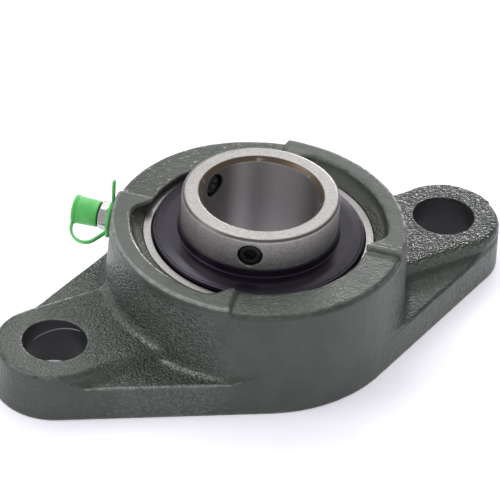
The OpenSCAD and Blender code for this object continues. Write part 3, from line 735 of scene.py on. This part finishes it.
def set_across(points, angle, height):
    """Turns points whose third value is a distance from the shaft axis to a level axis."""
    a, b, along = points.T
    x = along * math.cos(angle) - b * math.sin(angle)
    y = along * math.sin(angle) + b * math.cos(angle)
    return np.stack([x, y, height - a], 1)


for i, angle in enumerate(screw_angles, 1):
    placed = set_across(screw_points, angle, screw_z)
    screw = add_piece(
        f"grub_screw_{i}", placed, screw_quads, screw_black, "screw_black", f"set_screw_{i}"
    )
    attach(screw, f"screw_{i}_body")

# Grease nipple: turned from steel bar with a rolled thread, a hexagon and a round head, and
# zinc plated. A spring inside it holds a small ball against the mouth.
nipple_root, nipple_hex, nipple_neck, nipple_tip = 32.2, 39.87, 42.47, 46.57
hex_half, neck_r, head_r, head_start = 3.5, 2.1, 2.9, 43.57
shank_r, shank_thread, head_lip, head_flat = 2.95, 0.35, 0.6, 1.2
duct_r, cavity_r, mouth_r, mouth_h, nipple_cell = 0.6, 1.2, 0.75, 0.8, 0.16
spring_foot, spring_gap, spring_h, spring_r = 42.29, 0.015, 1.5, 0.96
wire_r, wire_sides, spring_turns, turn_steps = 0.14, 12, 3, 48


def nipple_solid(a, b, along):
    r = np.hypot(a, b)
    helix = along - np.arctan2(b, a) / (2 * math.pi)
    shank = r - shank_r + shank_thread * np.abs(2 * (helix % 1) - 1)
    shank = np.maximum(shank, np.maximum(nipple_root - along, along - nipple_hex - 0.1))
    collar = np.abs(along - (nipple_hex + nipple_neck) / 2) - (nipple_neck - nipple_hex) / 2
    cone = (r + 1.7 * np.maximum(collar + 0.35, 0)) - 1.11 * hex_half
    hexagonal = round_and(round_and(hexagon(a, b, hex_half), collar, 0.12), cone, 0.12)
    neck = np.maximum(r - neck_r, np.maximum(nipple_hex - along, along - nipple_tip))
    below = np.maximum(head_start + head_lip - along, 0)
    above = np.maximum(along - head_start - head_flat, 0)
    bulge = below * 1.3 + above * 0.45
    head = round_and(r - head_r + bulge, np.maximum(head_start - along, along - nipple_tip), 0.2)
    body = round_or(np.minimum(shank, hexagonal), np.minimum(round_or(neck, head, 0.3), head), 0.1)
    upper_r = np.where(along < nipple_tip - mouth_h, cavity_r, mouth_r)
    duct = r - np.where(along < spring_foot, duct_r, upper_r)
    return round_and(body, -duct, 0.05)


zinc, at = new_finish("nipple_zinc", Metallic=1.0)
plating = at.noise(0.9, 3)
feed(
    zinc,
    Base_Color=plating.blend((0.46, 0.46, 0.43, 1), (0.60, 0.60, 0.58, 1)),
    Roughness=0.22 + 0.16 * plating,
    Normal=bump(at.noise(0.25), 0.008),
)
nipple_low, nipple_high = (-4.1, -4.1, 32.1), (4.1, 4.1, 46.6)
nipple_points, nipple_quads = skin(nipple_solid, nipple_low, nipple_high, nipple_cell)
nipple_points = set_across(nipple_points, nipple_angle, nipple_z)
nipple = add_piece("nipple_body", nipple_points, nipple_quads, zinc, "nipple_zinc", "grease_nipple")
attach(nipple, "housing_body")
dress("check_ball", ball_steel)

wire_angles = np.linspace(0, 2 * math.pi, wire_sides, endpoint=False)
wire_section = [(math.cos(t), math.sin(t)) for t in wire_angles]


def tube_faces(n, m):
    """Faces of m rings of n points each, one after the other, with a face on each end."""
    sides = [
        (i * n + j, i * n + (j + 1) % n, (i + 1) * n + (j + 1) % n, (i + 1) * n + j)
        for i in range(m - 1) for j in range(n)
    ]
    return sides + [tuple(range(n))[::-1], tuple(range((m - 1) * n, m * n))]


coil_angles = np.linspace(0, 2 * math.pi * spring_turns, turn_steps * spring_turns + 1)
coil_rise = spring_h - 2 * wire_r
coil_points = np.array([
    (
        (spring_r + wire_r * u) * math.cos(t),
        (spring_r + wire_r * u) * math.sin(t),
        spring_foot + spring_gap + wire_r * (1 + v) + coil_rise * t / coil_angles[-1],
    )
    for t in coil_angles for u, v in wire_section
])
coil_faces = tube_faces(len(wire_section), len(coil_angles))
coil_points = set_across(coil_points, nipple_angle, nipple_z)
coil = add_piece("nipple_spring", coil_points, coil_faces, zinc, "nipple_zinc", "check_spring")
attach(coil, "housing_body")
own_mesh(coil)

# Dust cap, ring and strap: one moulding of soft green polyethylene. The cap snaps over the
# nipple's head, the ring is held under its hexagon and the thin strap keeps the two together.
cap_start, cap_end, cap_mouth_r, cap_flange_r, cap_flange_h = 42.82, 49.62, 3.45, 3.9, 0.9
cap_taper, cap_inside_r, cap_play, dish_r, dish_depth, cap_cell = 0.25, 2.95, 0.3, 12, 0.4, 0.16


def cap_solid(a, b, along):
    r = np.hypot(a, b)
    taper = cap_taper * (along - cap_start) / (cap_end - cap_start)
    barrel = round_and(r - cap_mouth_r - taper, np.maximum(cap_start - along, along - cap_end), 0.3)
    flange_end = np.abs(along - cap_end + cap_flange_h / 2) - cap_flange_h / 2
    flange = round_and(r - cap_flange_r, flange_end, 0.35)
    cavity = round_and(r - cap_inside_r, along - nipple_tip - cap_play, 0.4)
    dish = np.hypot(r, along - cap_end - dish_r + dish_depth) - dish_r
    return round_and(round_and(round_or(barrel, flange, 0.3), -cavity, 0.15), -dish, 0.1)


ring_x, ring_t, ring_r, ring_hole_r, strap_w, strap_t = 38.85, 1.0, 4.9, 3.05, 1.4, 0.7
tail_z, tail_middle, tab_end, strap_turn = 33.8, 6, 5.6, math.radians(55)


def ring_solid(a, b, along):
    plate = np.abs(along - ring_x - ring_t / 2) - ring_t / 2
    ring = round_and(np.hypot(a, b) - ring_r, plate, 0.3)
    thin = np.abs(along - ring_x - strap_t / 2) - strap_t / 2
    tail_end = np.abs(a + tail_middle) - (tail_z - nipple_z - tail_middle)
    tail = round_and(round_and(np.abs(b) - strap_w / 2, thin, 0.25), tail_end, 0.3)
    out = a * math.cos(strap_turn) + b * math.sin(strap_turn)
    across = b * math.cos(strap_turn) - a * math.sin(strap_turn)
    tab_reach = np.abs(out - tab_end / 2) - tab_end / 2
    tab = round_and(round_and(np.abs(across) - strap_w / 2, plate, 0.25), tab_reach, 0.3)
    body = round_or(round_or(ring, tail, 0.4), tab, 0.4)
    return round_and(body, ring_hole_r - np.hypot(a, b), 0.15)


cap_green, at = new_finish(
    "cap_green", Specular_IOR_Level=0.45, Subsurface_Weight=0.15, Subsurface_Scale=MM
)
flow = at.noise(3, 3)
feed(
    cap_green,
    Base_Color=flow.rise(0.3, 0.7).blend((0.10, 0.54, 0.12, 1), (0.17, 0.66, 0.19, 1)),
    Roughness=0.34 + 0.14 * flow,
    Normal=bump(at.noise(0.4, 2), 0.012),
)
cap_points, cap_quads = skin(cap_solid, (-4, -4, 42.8), (4, 4, 49.7), cap_cell)
cap_points = set_across(cap_points, nipple_angle, nipple_z)
cap = add_piece("cap_moulding", cap_points, cap_quads, cap_green, "cap_green", "dust_cap")
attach(cap, "cap_body")
ring_points, ring_quads = skin(ring_solid, (-11.9, -5, 38.8), (7.9, 5, 39.9), cap_cell)
ring_points = set_across(ring_points, nipple_angle, nipple_z)
ring = add_piece("cap_ring", ring_points, ring_quads, cap_green, "cap_green", "strap_ring")
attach(ring, "housing_body")

strap_x, strap_top, strap_leg, bend_r, run_stop = 49.27, 3.8, 0.6, 4.0, 39.87
bend_turn, bend_steps, run_steps = math.radians(138), 22, 6
bend_x, bend_out = strap_x - bend_r, strap_top + strap_leg
route = [(strap_x, strap_top), (strap_x, strap_top + strap_leg / 2)]
for t in np.linspace(0, bend_turn, bend_steps):
    route.append((bend_x + bend_r * math.cos(t), bend_out + bend_r * math.sin(t)))
run_x, run_out = route[-1]
run = (run_x - run_stop) / math.sin(bend_turn)
for t in np.linspace(0.15, 1, run_steps) * run:
    route.append((run_x - t * math.sin(bend_turn), run_out + t * math.cos(bend_turn)))
strap_section = rounded([
    (-strap_t / 2, -strap_w / 2, 0.2), (strap_t / 2, -strap_w / 2, 0.2),
    (strap_t / 2, strap_w / 2, 0.2), (-strap_t / 2, strap_w / 2, 0.2),
], 4)
route = np.array(route)
ahead = np.gradient(route, axis=0)
ahead /= np.linalg.norm(ahead, axis=1)[:, None]
strap_points = []
cosine, sine = math.cos(strap_turn), math.sin(strap_turn)
turned_out = np.array([[cosine, sine], [-sine, cosine]])
for (along, out), (da, do) in zip(route, ahead):
    for thick, wide in strap_section:
        a, b = np.array([out - thick * da, wide]) @ turned_out
        strap_points.append((a, b, along + thick * do))
strap_faces = tube_faces(len(strap_section), len(route))
strap_points = set_across(np.array(strap_points), nipple_angle, nipple_z)
strap = add_piece("cap_strap_band", strap_points, strap_faces, cap_green, "cap_green", "cap_strap")
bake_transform(strap)

# Studio: a pale floor under a grey white sky. A broad soft light hangs above and behind the part
# with a small key beside it, a weak one stands in front and one on the left, and a narrow bright
# one low at the far right makes the paint's grain glint.
bpy.ops.mesh.primitive_plane_add(size=8)
floor = bpy.context.object
floor.name = "floor"
floor.location.z = -0.05 * MM
floor_finish, at = new_finish(
    "floor", Roughness=0.9, Specular_IOR_Level=0.0, Emission_Strength=0.35
)
floor_colour = at.noise(40).blend((0.91, 0.90, 0.97, 1), (0.93, 0.92, 0.98, 1))
feed(floor_finish, Base_Color=floor_colour, Emission_Color=floor_colour)
floor.data.materials.append(floor_finish)
sky = bpy.data.worlds.new("sky")
sky.use_nodes = True
sky.node_tree.nodes["Background"].inputs["Color"].default_value = (1, 1, 0.99, 1)
sky.node_tree.nodes["Background"].inputs["Strength"].default_value = 0.5
bpy.context.scene.world = sky
bpy.context.scene.view_settings.view_transform = "Standard"


def softbox(name, azimuth, elevation, distance, width, height, radiance):
    """A flat area light that faces the part. Distances and sizes are in metres."""
    a, e = math.radians(azimuth), math.radians(elevation)
    direction = np.array([math.cos(a) * math.cos(e), math.sin(a) * math.cos(e), math.sin(e)])
    lamp = bpy.data.objects.new(name, bpy.data.lights.new(name, "AREA"))
    lamp.data.shape = "RECTANGLE"
    lamp.data.size, lamp.data.size_y = width, height
    lamp.data.energy = radiance * math.pi * width * height
    across = np.cross([0, 0, 1], direction)
    across /= np.linalg.norm(across)
    lamp_axes = np.eye(4)
    lamp_axes[:3, :3] = np.stack([across, np.cross(direction, across), direction], 1)
    lamp_axes[:3, 3] = direction * distance
    lamp.matrix_world = Matrix(lamp_axes.tolist())
    bpy.context.scene.collection.objects.link(lamp)


for name, *place_and_light in (
    # azimuth and elevation in degrees, distance, width and height in metres, radiance
    ("top_softbox", 80, 62, 1.3, 1.8, 1.5, 1.03),
    ("key_softbox", 68, 53, 1.2, 0.35, 0.35, 3.5),
    ("front_softbox", 250, 22, 1.5, 1.6, 0.7, 0.55),
    ("left_softbox", 160, 35, 1.2, 0.5, 0.5, 3.5),
    ("glint_softbox", 45, 18, 1.1, 0.4, 0.1, 26),
):
    softbox(name, *place_and_light)
